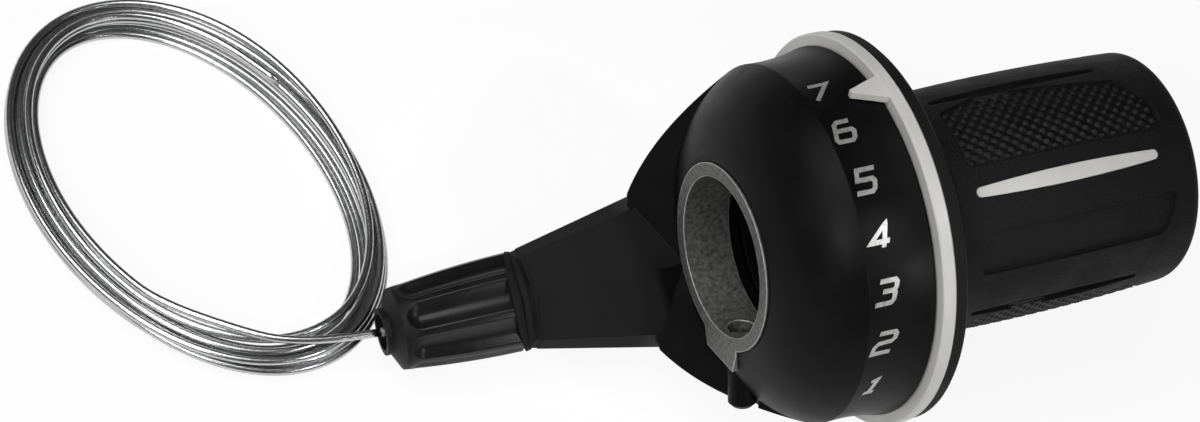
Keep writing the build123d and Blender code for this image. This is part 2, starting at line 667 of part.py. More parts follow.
def adjuster_barrel():
    """Fluted adjuster with its stem in the boss and a socket for the cable casing at its nose."""
    stem_start = BOSS_LENGTH - STEM_LENGTH
    socket_floor = NOSE_END - SOCKET_DEPTH
    wide_edge = (ADJUSTER_WIDE_R, KNOB_START + ADJUSTER_EDGE)
    middle = (ADJUSTER_MID_R, (KNOB_START + KNOB_END) / 2)
    side = ThreePointArc(wide_edge, middle, (ADJUSTER_END_R, KNOB_END))
    low = Polyline(
        (ADJUSTER_BORE_R, stem_start), (STEM_R, stem_start), (STEM_R, RECESS_END),
        (RECESS_R, RECESS_END), (RECESS_R, KNOB_START),
        (ADJUSTER_WIDE_R - ADJUSTER_EDGE, KNOB_START), wide_edge,
    )
    nose = Polyline(
        (ADJUSTER_END_R, KNOB_END), (NOSE_R, NOSE_START), (NOSE_R, NOSE_END), (SOCKET_R, NOSE_END),
        (SOCKET_R, socket_floor), (ADJUSTER_BORE_R, socket_floor), (ADJUSTER_BORE_R, stem_start),
    )
    blank = revolve(Plane.XZ * make_face([low, side, nose]), Axis.Z)
    for lobe in range(LOBES):
        blank -= Rot(0, 0, 360 / LOBES * lobe) * flute()
    return BOSS_PLANE.location * blank


def friction_ring():
    """Rubber ring on the stem, between the boss and the floor of the adjuster's recess."""
    ring = Torus(STEM_R + FRICTION_RING_R, FRICTION_RING_R)
    return BOSS_PLANE.location * Pos(0, 0, RECESS_END - FRICTION_RING_R) * ring


def corner_radii(points):
    """Radius of the arc at each inner point of a route, as large as its two runs allow."""
    radii = []
    for before, here, after in zip(points, points[1:], points[2:]):
        run_in = here - before
        run_out = after - here
        turn = run_in.get_angle(run_out)
        radii.append(ARC_SHARE * min(run_in.length, run_out.length) / tan(radians(turn / 2)))
    return radii


def lead_points():
    """Points of the free cable from the adjuster's nose to the coil."""
    start = BOSS_ROOT + BOSS_DIRECTION * NOSE_END
    drop = start.Z - FLOOR_Z - JOIN_HEIGHT
    return [start] + [start + Vector(ahead, aside, -share * drop) for ahead, aside, share in LEAD_STEPS]


def cable_lead():
    """Free stretch of cable from the adjuster's nose to the coil."""
    points = lead_points()
    radii = corner_radii(points)
    print("cable lead radii", [round(radius, 1) for radius in radii])
    path = FilletPolyline(*points, radius=radii)
    lead = swept(path)
    section = pi * CABLE_R ** 2
    print("cable lead volume", round(lead.volume, 2), "section by length", round(section * path.length, 2))
    return lead


def cable_coil():
    """Outer shape of the coiled free length of cable."""
    ring = Ellipse(COIL_HALF_LONG, COIL_HALF_SHORT)
    ring -= Ellipse(COIL_HALF_LONG - COIL_BAND, COIL_HALF_SHORT - COIL_BAND)
    body = extrude(ring, COIL_HEIGHT)
    body = chamfer(body.edges().filter_by(Plane.XY), COIL_EDGE)
    join = lead_points()[-1]
    return Pos(join.X + COIL_AHEAD, join.Y + COIL_ASIDE, FLOOR_Z) * Rot(0, 0, COIL_TURN) * body


def all_parts():
    """Every node of the shifter by name."""
    parts = {
        "housing": housing(),
        "clamp_insert": clamp_insert(),
        "clamp_screw": clamp_screw(),
        "detent_spring": detent_spring(),
        "retaining_ring": retaining_ring(),
        "cable_guide": cable_guide(),
        "inner_cable": swept(cable_path()),
        "cable_lead": cable_lead(),
        "cable_coil": cable_coil(),
        "twist_barrel": twist_barrel(),
        "cable_head": cable_head(),
        "indicator_ring": indicator_ring(),
        "rubber_grip": rubber_grip(),
        "adjuster_barrel": adjuster_barrel(),
        "friction_ring": friction_ring(),
    }
    for panel in range(PANEL_COUNT):
        parts[f"spindle_inlay_{panel + 1}"] = spindle_inlay(panel)
    return parts


if __name__ == "__main__":
    os.makedirs("parts", exist_ok=True)
    for name, shape in all_parts().items():
        export_step(shape, f"parts/{name}.step")
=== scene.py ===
"""Twist grip shifter with its coiled gear cable, dressed for a studio picture.

Sizes in the classes are millimetres, in the part's own frame. Meshes are metres.
An angle is measured about +X, which is the handlebar's axis, from +Y towards +Z.
"""
import logging
from dataclasses import astuple, dataclass
from enum import Enum

import bpy
import numpy as np
from mathutils import Matrix, Vector


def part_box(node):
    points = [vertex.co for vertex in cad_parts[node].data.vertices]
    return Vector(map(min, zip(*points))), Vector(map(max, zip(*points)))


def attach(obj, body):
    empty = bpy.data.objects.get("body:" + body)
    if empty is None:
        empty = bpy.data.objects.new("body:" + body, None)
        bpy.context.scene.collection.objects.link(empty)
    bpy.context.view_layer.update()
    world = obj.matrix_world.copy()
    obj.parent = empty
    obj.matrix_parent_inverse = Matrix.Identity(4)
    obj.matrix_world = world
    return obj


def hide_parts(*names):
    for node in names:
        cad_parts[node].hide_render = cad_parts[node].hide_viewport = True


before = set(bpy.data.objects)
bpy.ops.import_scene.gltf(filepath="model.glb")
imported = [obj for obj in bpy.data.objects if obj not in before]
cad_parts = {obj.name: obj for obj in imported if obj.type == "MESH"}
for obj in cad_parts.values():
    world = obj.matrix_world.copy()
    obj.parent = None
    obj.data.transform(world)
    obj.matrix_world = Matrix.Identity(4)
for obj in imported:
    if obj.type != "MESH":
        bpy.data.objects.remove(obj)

LOG = logging.getLogger("shifter")
MM = 0.001
PHOTO_WIDTH = 1200
NOISE_LOW = 0.3
NOISE_HIGH = 0.7
EDGE_COSINE = 0.75
WHITE = (1.0, 1.0, 1.0)
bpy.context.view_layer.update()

Point = tuple[float, float, float]
Colour = tuple[float, float, float]
Pair = tuple[float, float]
Piece = bpy.types.Object
Finish = bpy.types.Material
Socket = bpy.types.NodeSocket
Value = Socket | Colour | float


class Body(Enum):
    """Bodies of the part that new pieces ride on."""

    BASE = "base"
    GRIP = "grip"
    ADJUSTER = "adjuster"


class Slot(Enum):
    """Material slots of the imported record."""

    HOUSING = "housing_plastic"
    CABLE = "cable_steel"
    LIGHT = "light_plastic"
    RUBBER = "grip_rubber"


class Mix(Enum):
    """Kinds of value that a mix node blends."""

    COLOUR = "RGBA"
    NUMBER = "FLOAT"


class Operation(Enum):
    """Operations of a math node."""

    LARGER = "MAXIMUM"
    TIMES = "MULTIPLY"
    FOLD = "PINGPONG"
    DOT = "DOT_PRODUCT"


def grey(level: float) -> Colour:
    """Colour with the same level in each channel."""
    return (level, level, level)


def smooth_step(value: np.ndarray) -> np.ndarray:
    """Ease from 0 to 1: three times the square less twice the cube of the clipped value."""
    share = np.clip(value, 0.0, 1.0)
    return share * share * (3.0 - 2.0 * share)


def unit(vectors: np.ndarray) -> np.ndarray:
    """Vectors of length 1 with the same directions."""
    return vectors / np.linalg.norm(vectors, axis=-1, keepdims=True)


def edge_normals(corners: np.ndarray) -> np.ndarray:
    """Unit normals to the right of each edge of a closed outline."""
    run = np.roll(corners, -1, axis=0) - corners
    return unit(np.column_stack([run[:, 1], -run[:, 0]]))


def length_along(line: np.ndarray) -> np.ndarray:
    """Length along a line from its first point to each of its points."""
    return np.concatenate([[0.0], np.cumsum(np.linalg.norm(np.diff(line, axis=0), axis=1))])


def around_bar(x: np.ndarray, radius: np.ndarray, angle: np.ndarray) -> np.ndarray:
    """Points about the bar: x along it, the radius times the angle's cosine and sine across it."""
    return np.stack(np.broadcast_arrays(x, radius * np.cos(angle), radius * np.sin(angle)), axis=-1)


def circle_height(spots: tuple[Pair, ...], x: np.ndarray, hollow: bool = False) -> np.ndarray:
    """Height of the circle through three points.

    It is the height of the centre plus, or for a hollow less, the root of what the squared distance
    along x from the centre leaves of the squared radius.

    Args:
        spots: Three points of (x, height) in mm.
        x: Where to read the height, in mm.
        hollow: True where the curve is the lower part of its circle.

    Returns:
        Height in mm.
    """
    known = np.array(spots)
    system = np.column_stack([2.0 * known, np.ones(3)])
    centre_x, centre_h, rest = np.linalg.solve(system, (known ** 2).sum(axis=1))
    reach = np.sqrt(rest + centre_x ** 2 + centre_h ** 2 - (x - centre_x) ** 2)
    return centre_h - reach if hollow else centre_h + reach


def grid_faces(rows: int, columns: int, wrap: bool = False) -> np.ndarray:
    """Quads of a grid whose point at (row, column) has the number row times columns plus column.

    Args:
        rows: Number of points along the first parameter.
        columns: Number of points along the second one.
        wrap: True where the last column joins the first.

    Returns:
        Corner numbers, four to a quad.
    """
    last = columns if wrap else columns - 1
    row, column = np.meshgrid(np.arange(rows - 1), np.arange(last), indexing="ij")
    beside = (column + 1) % columns
    first = row * columns
    corners = [first + column, first + beside, first + columns + beside, first + columns + column]
    return np.stack(corners, axis=-1).reshape(-1, 4)


def mesh_piece(name: str, points: np.ndarray, faces: list[list[int]], smooth: bool = True) -> Piece:
    """Mesh object at the origin, with its place in its mesh.

    Args:
        name: Name of the piece.
        points: Vertices in mm.
        faces: Corner numbers of each face.
        smooth: True for smooth shading.

    Returns:
        The new object, linked to the scene.
    """
    mesh = bpy.data.meshes.new(name)
    mesh.from_pydata((points.reshape(-1, 3) * MM).tolist(), [], faces)
    mesh.polygons.foreach_set("use_smooth", np.full(len(mesh.polygons), smooth))
    mesh.validate()
    mesh.update()
    piece = bpy.data.objects.new(name, mesh)
    bpy.context.scene.collection.objects.link(piece)
    return piece


def ring_piece(name: str, points: np.ndarray, sharp_angle: float) -> Piece:
    """Closed ring: the last row of its grid joins the first, and so do its columns.

    Args:
        name: Name of the piece.
        points: Grid of points in mm, rows along the profile and columns about the axis.
        sharp_angle: Angle in degrees above which an edge is shaded sharp.

    Returns:
        The new object.
    """
    rows, columns = points.shape[:2]
    faces = grid_faces(rows + 1, columns, wrap=True)[:, ::-1] % (rows * columns)
    piece = mesh_piece(name, points, faces.tolist())
    piece.data.set_sharp_from_angle(angle=np.radians(sharp_angle))
    return piece


class Graph:
    """Node tree of a material or of the world, with short ways to add nodes and join them."""

    def __init__(self, owner: Finish | bpy.types.World, shader: str = "Principled BSDF") -> None:
        """Start from the shader and the output that a new tree holds.

        Args:
            owner: New material or world.
            shader: Name of its shader node.
        """
        owner.use_nodes = True
        self.owner = owner
        self.tree = owner.node_tree
        self.shader = self.tree.nodes[shader]
        self.coords = self.add("ShaderNodeTexCoord").outputs

    def feed(self, target: Socket, value: Value) -> None:
        """Link an input to another node's output, or set it to a plain value.

        Args:
            target: Input socket.
            value: Output socket, number or colour.
        """
        if isinstance(value, Socket):
            self.tree.links.new(value, target)
        else:
            target.default_value = (*value, 1.0) if isinstance(value, tuple) else value

    def feed_all(self, node: bpy.types.Node, inputs: dict[str, Value]) -> None:
        """Feed several inputs of a node by name, with underscores for the spaces in a name."""
        for name, value in inputs.items():
            self.feed(node.inputs[name.replace("_", " ")], value)

    def add(self, kind: str, **inputs: Value) -> bpy.types.Node:
        """Add a node and feed some of its inputs.

        Args:
            kind: Blender's name of the node type.
            inputs: What to feed, by name.

        Returns:
            The new node.
        """
        node = self.tree.nodes.new(kind)
        self.feed_all(node, inputs)
        return node

    def shade(self, **inputs: Value) -> Finish | bpy.types.World:
        """Feed the shader's inputs by name and return the owner."""
        self.feed_all(self.shader, inputs)
        return self.owner

    def texture(self, kind: str, size_mm: float, **inputs: Value) -> bpy.types.bpy_prop_collection:
        """Outputs of a texture with a size in mm, on the object's own coordinates."""
        place = self.coords["Object"]
        return self.add(kind, Vector=place, Scale=1.0 / (size_mm * MM), **inputs).outputs

    def noise(self, size_mm: float, detail: float = 3.0) -> Socket:
        """Noise with some finer layers, most of it between NOISE_LOW and NOISE_HIGH."""
        return self.texture("ShaderNodeTexNoise", size_mm, Detail=detail)["Fac"]

    def cells(self, size_mm: float) -> Socket:
        """Distance to the middle of small rounded cells."""
        return self.texture("ShaderNodeTexVoronoi", size_mm)["Distance"]

    def ranged(
        self, source: Socket, low: float = 0.0, high: float = 1.0,
        start: float = NOISE_LOW, end: float = NOISE_HIGH, eased: bool = False,
    ) -> Socket:
        """Stretch a value from one range to another.

        Args:
            source: Socket to read.
            low: Result at the start of the range.
            high: Result at its end.
            start: Where the source's range starts.
            end: Where it ends.
            eased: True for a smooth step in place of a straight run.

        Returns:
            Socket that carries the result.
        """
        limits = {"From_Min": start, "From_Max": end, "To_Min": low, "To_Max": high}
        node = self.add("ShaderNodeMapRange", Value=source, **limits)
        if eased:
            node.interpolation_type = "SMOOTHSTEP"
        return node.outputs["Result"]

    def mix(self, share: Socket, first: Value, second: Value, kind: Mix = Mix.COLOUR) -> Socket:
        """Mix two colours or two numbers by a share.

        Args:
            share: Socket with the share of the second one.
            first: Colour or number at 0, or a socket that carries it.
            second: The same at 1.
            kind: What is mixed.

        Returns:
            Socket that carries the result.
        """
        node = self.tree.nodes.new("ShaderNodeMix")
        node.data_type = kind.value
        self.feed_all(node, {"Factor": share, "A": first, "B": second})
        return node.outputs["Result"]

    def math(self, operation: Operation, first: Value, second: Value, kind: str = "ShaderNodeMath") -> Socket:
        """Work out a number from two others or from two vectors.

        Args:
            operation: What to do with them.
            first: First one, or a socket that carries it.
            second: Second one.
            kind: Blender's name of the node type.

        Returns:
            Socket that carries the result.
        """
        node = self.tree.nodes.new(kind)
        node.operation = operation.value
        self.feed(node.inputs[0], first)
        self.feed(node.inputs[1], second)
        return node.outputs["Value"]

    def part(self, vector: Socket, axis: str) -> Socket:
        """Socket that carries the X, Y or Z part of a vector."""
        return self.add("ShaderNodeSeparateXYZ", Vector=vector).outputs[axis]

    def rounded(self, radius_mm: float) -> Socket:
        """Normal that rounds off sharp edges by a radius."""
        return self.add("ShaderNodeBevel", Radius=radius_mm * MM).outputs["Normal"]

    def edge_share(self, radius_mm: float) -> Socket:
        """Share of an edge: how far the rounded normal turns away from the face's own one.

        Args:
            radius_mm: Radius of the rounding.

        Returns:
            Socket with 0 on a flat face and 1 where the cosine of that turn is EDGE_COSINE or less.
        """
        normal = self.add("ShaderNodeNewGeometry").outputs["Normal"]
        cosine = self.math(Operation.DOT, self.rounded(radius_mm), normal, "ShaderNodeVectorMath")
        return self.ranged(cosine, 1.0, 0.0, EDGE_COSINE, 1.0)

    def relief(self, height: Socket, depth_mm: float, normal: Socket | None = None) -> Socket:
        """Bump from a height, over an optional normal.

        Args:
            height: Socket with the height, 0 to 1.
            depth_mm: Depth of the relief in mm.
            normal: Normal below the relief.

        Returns:
            Socket that carries the new normal.
        """
        node = self.add("ShaderNodeBump", Height=height, Strength=1.0, Distance=depth_mm * MM)
        if normal is not None:
            self.feed(node.inputs["Normal"], normal)
        return node.outputs["Normal"]


@dataclass(frozen=True)
class MouldedPlastic:
    """Moulded plastic with a fine spark-eroded grain and slightly rounded edges."""

    name: str
    colour: Colour
    patch_colour: Colour
    roughness: Pair
    patch_mm: float = 6.0
    grain_mm: float = 0.22
    grain_detail: float = 2.0
    grain_depth_mm: float = 0.012
    edge_mm: float = 0.3
    reflectance: float = 0.4

    def tones(self, graph: Graph) -> tuple[Socket, Socket]:
        """Patchy colour and roughness.

        Args:
            graph: Node tree of the finish.

        Returns:
            Sockets that carry the colour and the roughness.
        """
        patches = graph.noise(self.patch_mm)
        colour = graph.mix(graph.ranged(patches), self.colour, self.patch_colour)
        return colour, graph.ranged(patches, *self.roughness)

    def material(self) -> Finish:
        """Build the finish: patchy tones and a fine relief, over rounded edges if they have a radius.

        Returns:
            The new material.
        """
        graph = Graph(bpy.data.materials.new(self.name))
        colour, roughness = self.tones(graph)
        grain = graph.noise(self.grain_mm, self.grain_detail)
        edges = graph.rounded(self.edge_mm) if self.edge_mm else None
        return graph.shade(
            Base_Color=colour, Roughness=roughness, Specular_IOR_Level=self.reflectance,
            Normal=graph.relief(grain, self.grain_depth_mm, edges),
        )


@dataclass(frozen=True)
class PaintedEndPlastic(MouldedPlastic):
    """Moulded plastic whose inboard end has another roughness than its body and a colour of painted light and
    shade.
    """

    end_painted_light_and_shade: Colour = grey(0.011)
    end_roughness: float = 0.75
    end_x: float = -7.0
    body_x: float = -3.5

    def tones(self, graph: Graph) -> tuple[Socket, Socket]:
        """Colour and roughness that pass from the end to the patchy body along the bar; the end's colour is
        painted light and shade.

        Args:
            graph: Node tree of the finish.

        Returns:
            Sockets that carry the colour and the roughness.
        """
        colour, roughness = super().tones(graph)
        along = graph.part(graph.coords["Object"], "X")
        body = graph.ranged(along, 0.0, 1.0, self.end_x * MM, self.body_x * MM)
        # The end's colour is painted: a lighter sheen on the housing's boss, a darker shade on the adjuster's
        # nose.
        colour = graph.mix(body, self.end_painted_light_and_shade, colour)
        return colour, graph.mix(body, self.end_roughness, roughness, Mix.NUMBER)


@dataclass(frozen=True)
class CastMetal:
    """Tumbled cast metal: mottled, with edges that are brighter, partly rubbed wear and partly painted
    highlight.
    """

    name: str
    colour: Colour
    dark_colour: Colour
    edge_wear_and_highlight: Colour
    roughness: Pair = (0.45, 0.6)
    mottle_mm: float = 0.5
    mottle_detail: float = 5.0
    edge_mm: float = 0.18
    relief_mm: float = 0.03
    metal: float = 1.0

    def material(self) -> Finish:
        """Build the finish: mottled colour and roughness, edges brightened by wear and painted highlight, and
        a pitted relief.

        Returns:
            The new material.
        """
        graph = Graph(bpy.data.materials.new(self.name))
        mottle = graph.noise(self.mottle_mm, self.mottle_detail)
        body = graph.mix(graph.ranged(mottle), self.dark_colour, self.colour)
        return graph.shade(
            # The bright edge colour is partly rubbed wear and partly painted highlight.
            Base_Color=graph.mix(graph.edge_share(self.edge_mm), body, self.edge_wear_and_highlight),
            Roughness=graph.ranged(mottle, *self.roughness), Metallic=self.metal,
            Normal=graph.relief(mottle, self.relief_mm, graph.rounded(self.edge_mm)),
        )


@dataclass(frozen=True)
class GripRubber:
    """Matte rubber with a fine pebbled grain."""

    name: str
    colour: Colour
    patch_colour: Colour
    roughness: Pair = (0.6, 0.78)
    patch_mm: float = 4.0
    patch_detail: float = 4.0
    pebble_mm: float = 0.32
    pebble_reach: float = 0.8
    pebble_depth_mm: float = 0.06
    edge_mm: float = 0.35
    reflectance: float = 0.18

    def material(self) -> Finish:
        """Build the finish: pebbles over rounded edges, with dusty patches.

        Returns:
            The new material.
        """
        graph = Graph(bpy.data.materials.new(self.name))
        patches = graph.noise(self.patch_mm, self.patch_detail)
        pebbles = graph.ranged(graph.cells(self.pebble_mm), 1.0, 0.0, 0.0, self.pebble_reach)
        return graph.shade(
            Base_Color=graph.mix(graph.ranged(patches), self.colour, self.patch_colour),
            Roughness=graph.ranged(patches, *self.roughness), Specular_IOR_Level=self.reflectance,
            Normal=graph.relief(pebbles, self.pebble_depth_mm, graph.rounded(self.edge_mm)),
        )


@dataclass(frozen=True)
class PrintedSilver:
    """Silver print on the dial, a little patchy."""

    name: str
    colour: Colour
    thin_colour: Colour
    roughness: Pair = (0.3, 0.5)
    patch_mm: float = 0.35
    thin_range: Pair = (0.35, 0.55)
    metal: float = 0.6

    def material(self) -> Finish:
        """Build the finish: bright print with thin patches where the plastic shows through.

        Returns:
            The new material.
        """
        graph = Graph(bpy.data.materials.new(self.name))
        patches = graph.noise(self.patch_mm)
        cover = graph.ranged(patches, 0.0, 1.0, *self.thin_range)
        return graph.shade(
            Base_Color=graph.mix(cover, self.thin_colour, self.colour),
            Roughness=graph.ranged(patches, *self.roughness), Metallic=self.metal,
        )


@dataclass(frozen=True)
class StrandedSteel:
    """Wire rope: bright strands with painted shade in the grooves between them, read from the rope's own UV
    map.
    """

    name: str
    colour: Colour
    groove_painted_shade: Colour
    roughness: Pair = (0.2, 0.27)
    streak_mm: float = 0.6
    groove_start: float = 0.2
    groove_middle: float = 0.5

    def material(self) -> Finish:
        """Build the finish: the UV's first value counts strands, and a groove's middle is half way on.

        Returns:
            The new material.
        """
        graph = Graph(bpy.data.materials.new(self.name))
        fold = graph.math(Operation.FOLD, graph.part(graph.coords["UV"], "X"), self.groove_middle)
        groove = graph.ranged(fold, 0.0, 1.0, self.groove_start, self.groove_middle)
        return graph.shade(
            # The grooves between the strands get a darker colour: painted shade.
            Base_Color=graph.mix(groove, self.colour, self.groove_painted_shade),
            Roughness=graph.ranged(graph.noise(self.streak_mm), *self.roughness), Metallic=1.0,
        )


# The boss end's lighter colour (the class default) is painted sheen. It stands in for the reflection that its
# duller facets lose.
HOUSING_BLACK = PaintedEndPlastic("housing_black", grey(0.002), grey(0.0036), (0.36, 0.48), reflectance=0.08)
# The adjuster nose's darker end colour is painted shade.
ADJUSTER_BLACK = PaintedEndPlastic(
    "adjuster_black", grey(0.006), grey(0.009), (0.24, 0.32), grain_depth_mm=0.003, edge_mm=0.0,
    reflectance=0.25, end_painted_light_and_shade=grey(0.002), end_roughness=0.6, end_x=-38.6, body_x=-36.6,
)
BARREL_BLACK = MouldedPlastic("barrel_black", grey(0.002), grey(0.0036), (0.4, 0.5), reflectance=0.12)
RING_GREY = MouldedPlastic(
    "ring_grey", (0.45, 0.445, 0.425), (0.5, 0.495, 0.475), (0.34, 0.44), grain_depth_mm=0.004, edge_mm=0.2
)
# The insert's bright edge colour is partly wear and partly a painted highlight along its rim.
INSERT_CAST = CastMetal(
    "insert_cast", (0.17, 0.17, 0.162), (0.06, 0.06, 0.057), (0.85, 0.85, 0.82),
    metal=0.5, mottle_mm=0.6, edge_mm=0.24, relief_mm=0.06,
)
HEAD_CAST = CastMetal("head_cast", (0.42, 0.41, 0.38), (0.27, 0.26, 0.25), (0.6, 0.6, 0.58))
SCREW_BLACK = CastMetal("screw_black", grey(0.012), grey(0.006), grey(0.04))
SPRING_BRIGHT = CastMetal("spring_bright", (0.55, 0.55, 0.54), (0.45, 0.45, 0.44), grey(0.7), relief_mm=0.004)
SLEEVE_RUBBER = GripRubber("sleeve_rubber", (0.0024, 0.0024, 0.0023), (0.0042, 0.0042, 0.004))
KNURL_RUBBER = GripRubber("knurl_rubber", grey(0.0024), grey(0.0036), (0.42, 0.55), pebble_depth_mm=0.01)
DIAL_SILVER = PrintedSilver("dial_silver", (0.42, 0.42, 0.41), (0.28, 0.28, 0.275))
# The rope's second colour is painted shade for the grooves between its strands.
WIRE_ROPE = StrandedSteel("wire_rope", (0.62, 0.625, 0.63), (0.4, 0.4, 0.402))


def dress(finish: Finish, *nodes: str) -> None:
    """Give nodes of the part their finish.

    Args:
        finish: Material for the whole of each node.
        nodes: Names of the nodes.
    """
    for node in nodes:
        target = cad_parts[node]
        if not target.material_slots:
            target.data.materials.append(finish)
        for slot in target.material_slots:
            slot.material = finish
        LOG.info("dressed %s with %s", node, finish.name)


def place_piece(piece: Piece, body: Body, finish: Finish) -> None:
    """Give a new piece its finish and the body that carries it.

    Args:
        piece: Object to place.
        body: Body that it moves with.
        finish: Its material.
    """
    piece.data.materials.append(finish)
    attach(piece, body.value)
    LOG.info("made %s on %s, %d faces", piece.name, body.value, len(piece.data.polygons))


@dataclass(frozen=True)
class Lamp:
    """Lamp that looks at a point of the shifter: the direction to it, its distance and its power."""

    name: str
    aim: Point
    towards: Point
    distance: float
    watts: float

    def light(self) -> bpy.types.Light:
        """Light of the lamp's own kind, which each kind makes for itself."""
        raise NotImplementedError

    def hang(self) -> None:
        """Place the lamp at its distance, looking back at its aim."""
        light = self.light()
        light.energy = self.watts
        lamp = bpy.data.objects.new(self.name, light)
        out = Vector(self.towards).normalized()
        lamp.location = (Vector(self.aim) + out * self.distance) * MM
        lamp.rotation_euler = (-out).to_track_quat("-Z", "Y").to_euler()
        bpy.context.scene.collection.objects.link(lamp)


@dataclass(frozen=True)
class SoftBox(Lamp):
    """Rectangular soft box."""

    width: float
    height: float

    def light(self) -> bpy.types.Light:
        """Area light of the box's size.

        Returns:
            The new light.
        """
        light = bpy.data.lights.new(self.name, "AREA")
        light.shape = "RECTANGLE"
        light.size = self.width * MM
        light.size_y = self.height * MM
        return light


@dataclass(frozen=True)
class SoftSpot(Lamp):
    """Soft-edged spot that leaves the coil in the shade."""

    half_angle: float
    radius: float = 45.0

    def light(self) -> bpy.types.Light:
        """Spot whose beam fades from its middle to its edge.

        Returns:
            The new light.
        """
        light = bpy.data.lights.new(self.name, "SPOT")
        light.spot_size = 2.0 * np.radians(self.half_angle)
        light.spot_blend = 1.0
        light.shadow_soft_size = self.radius * MM
        return light


@dataclass
class Studio:
    """Camera, floor and lights."""

    eye: Point = (-224.296, -224.701, 436.056)
    right: Point = (0.9, -0.3658, 0.2371)
    up: Point = (0.1925, 0.8215, 0.5367)
    forward: Point = (0.391, 0.4374, -0.8098)
    focal_px: float = 4000.0
    sensor_mm: float = 36.0
    clip_start: float = 10.0
    floor_half: float = 4000.0
    floor_colour: Colour = grey(0.9)
    floor_roughness: float = 0.9
    floor_reflectance: float = 0.1
    floor_shade: float = 0.1
    lamps: tuple[Lamp, ...] = (
        SoftBox("box_above", (-5.0, 15.0, -5.0), (-0.36, 0.15, 0.92), 700.0, 3.4, width=420.0, height=620.0),
        SoftBox("box_front", (-5.0, 15.0, -5.0), (-0.62, -0.4, 0.67), 800.0, 2.4, width=300.0, height=300.0),
        SoftSpot("spot_dial", (11.0, -17.0, 17.0), (0.39, -0.51, 0.77), 500.0, 9.0, half_angle=3.8),
        SoftSpot("spot_low", (22.0, -6.0, 0.0), (0.15, -0.85, 0.5), 600.0, 8.0, half_angle=4.6),
    )
    room_height: Pair = (0.12, 0.5)
    room_light: Pair = (0.18, 0.03)

    def camera(self) -> None:
        """Camera at the photograph's place: its columns are right, up and backwards."""
        data = bpy.data.cameras.new("studio_camera")
        data.sensor_fit = "HORIZONTAL"
        data.sensor_width = self.sensor_mm
        data.lens = self.sensor_mm * self.focal_px / PHOTO_WIDTH
        data.clip_start = self.clip_start * MM
        camera = bpy.data.objects.new("studio_camera", data)
        bpy.context.scene.collection.objects.link(camera)
        backward = -np.array(self.forward)
        turn = Matrix(np.column_stack([self.right, self.up, backward]).tolist()).to_4x4()
        camera.matrix_world = Matrix.Translation(Vector(self.eye) * MM) @ turn
        bpy.context.scene.camera = camera

    def floor_finish(self) -> Finish:
        """White floor: most of what is seen or mirrored is plain white, and the rest keeps the shadow.

        Returns:
            The new material.
        """
        graph = Graph(bpy.data.materials.new("floor_white"))
        rays = graph.add("ShaderNodeLightPath").outputs
        mirrored = graph.math(Operation.LARGER, rays["Is Glossy Ray"], rays["Is Transmission Ray"])
        seen = graph.math(Operation.LARGER, rays["Is Camera Ray"], mirrored)
        share = graph.math(Operation.TIMES, seen, 1.0 - self.floor_shade)
        white = graph.add("ShaderNodeEmission", Color=WHITE, Strength=1.0)
        mix = graph.add("ShaderNodeMixShader", Fac=share)
        graph.feed(mix.inputs[1], graph.shader.outputs[0])
        graph.feed(mix.inputs[2], white.outputs[0])
        graph.feed(graph.tree.nodes["Material Output"].inputs["Surface"], mix.outputs[0])
        return graph.shade(
            Base_Color=self.floor_colour, Roughness=self.floor_roughness,
            Specular_IOR_Level=self.floor_reflectance,
        )

    def floor(self) -> None:
        """Flat floor at the height that the coiled cable lies on."""
        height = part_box("cable_coil")[0].z / MM
        reach = np.array([-self.floor_half, self.floor_half])
        x, y = np.meshgrid(reach, reach, indexing="ij")
        points = np.stack([x, y, np.full_like(x, height)], axis=-1)
        floor = mesh_piece("floor", points, grid_faces(2, 2)[:, ::-1].tolist(), smooth=False)
        floor.data.materials.append(self.floor_finish())

    def lights(self) -> None:
        """A large box above, one at the front left, two soft spots, and a dim room with a pale horizon."""
        for lamp in self.lamps:
            lamp.hang()
        world = bpy.data.worlds.new("studio_room")
        bpy.context.scene.world = world
        graph = Graph(world, "Background")
        height = graph.part(graph.coords["Generated"], "Z")
        strength = graph.ranged(height, *self.room_light, *self.room_height, eased=True)
        graph.shade(Color=WHITE, Strength=strength)


@dataclass(frozen=True)
class Station:
    """Place of the cable after some turns: lane out from the mean line and rise over the floor, in mm."""

    turn: float
    lane: float
    rise: float
    layer: float


